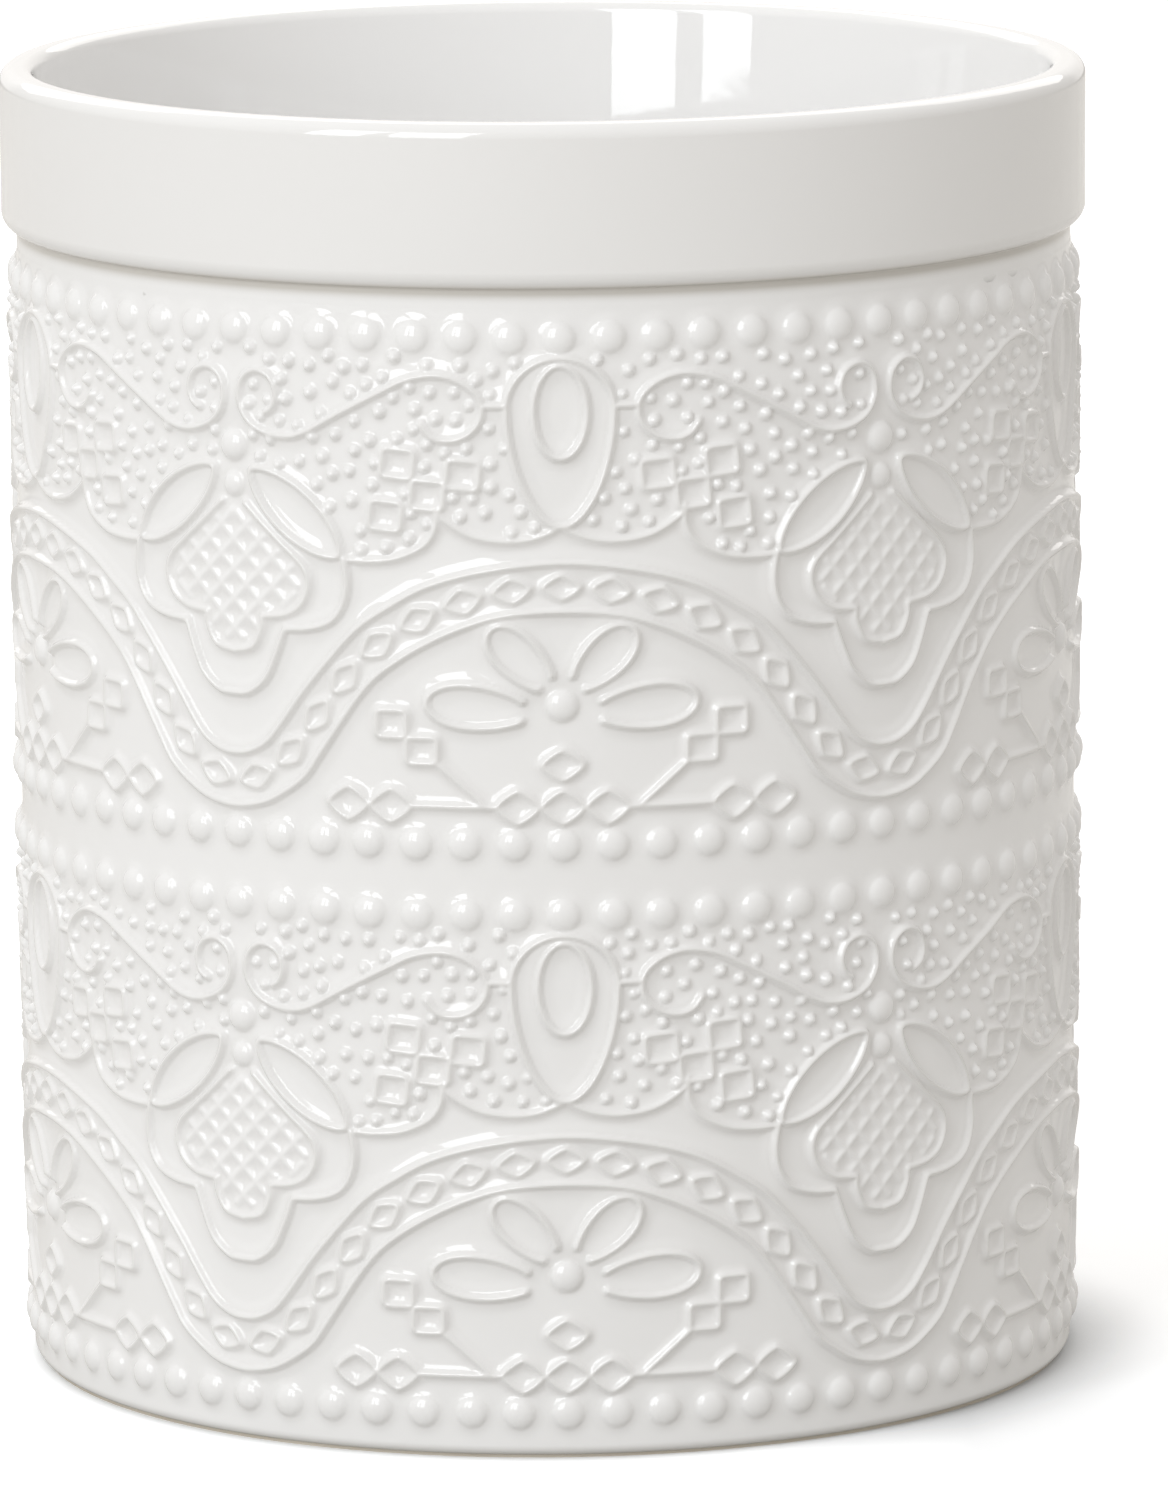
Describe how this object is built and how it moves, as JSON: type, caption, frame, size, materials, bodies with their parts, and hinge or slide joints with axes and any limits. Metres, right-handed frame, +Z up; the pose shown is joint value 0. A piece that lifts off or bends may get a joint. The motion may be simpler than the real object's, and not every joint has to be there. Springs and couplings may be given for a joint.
{
  "type": "utensil crock",
  "caption": "Straight round glazed crock with a raised collar at its open mouth and tiers of lace relief on its wall, for standing cooking utensils in.",
  "frame": {"origin": "centre of the foot ring, on the surface that the crock stands on", "axes": "+Z up along the axis of the jar; -Y is the pictured front, with a drop motif on it"},
  "size_m": [0.15, 0.15, 0.1811],
  "materials": {
    "white_glaze": "gloss",
    "bare_clay": "matte"
  },
  "bodies": {
    "root": {"crock_wall": "white_glaze", "crock_floor": "white_glaze", "rim_collar": "white_glaze", "foot_ring": "bare_clay", "lower_checks": "white_glaze", "lower_diamonds": "white_glaze", "lower_drops": "white_glaze", "lower_festoon_lozenges": "white_glaze", "lower_festoon_rails": "white_glaze", "lower_flowers": "white_glaze", "lower_knots": "white_glaze", "lower_lattices": "white_glaze", "lower_leaves": "white_glaze", "lower_palmettes": "white_glaze", "lower_scallops": "white_glaze", "lower_scrolls": "white_glaze", "lower_steps": "white_glaze", "lower_tier_bottom_pearls": "white_glaze", "lower_tier_top_pearls": "white_glaze", "upper_checks": "white_glaze", "upper_diamonds": "white_glaze", "upper_drops": "white_glaze", "upper_festoon_lozenges": "white_glaze", "upper_festoon_rails": "white_glaze", "upper_flowers": "white_glaze", "upper_knots": "white_glaze", "upper_lattices": "white_glaze", "upper_leaves": "white_glaze", "upper_palmettes": "white_glaze", "upper_scallops": "white_glaze", "upper_scrolls": "white_glaze", "upper_steps": "white_glaze", "upper_tier_bottom_pearls": "white_glaze", "upper_tier_top_pearls": "white_glaze"}
  },
  "joints": []
}
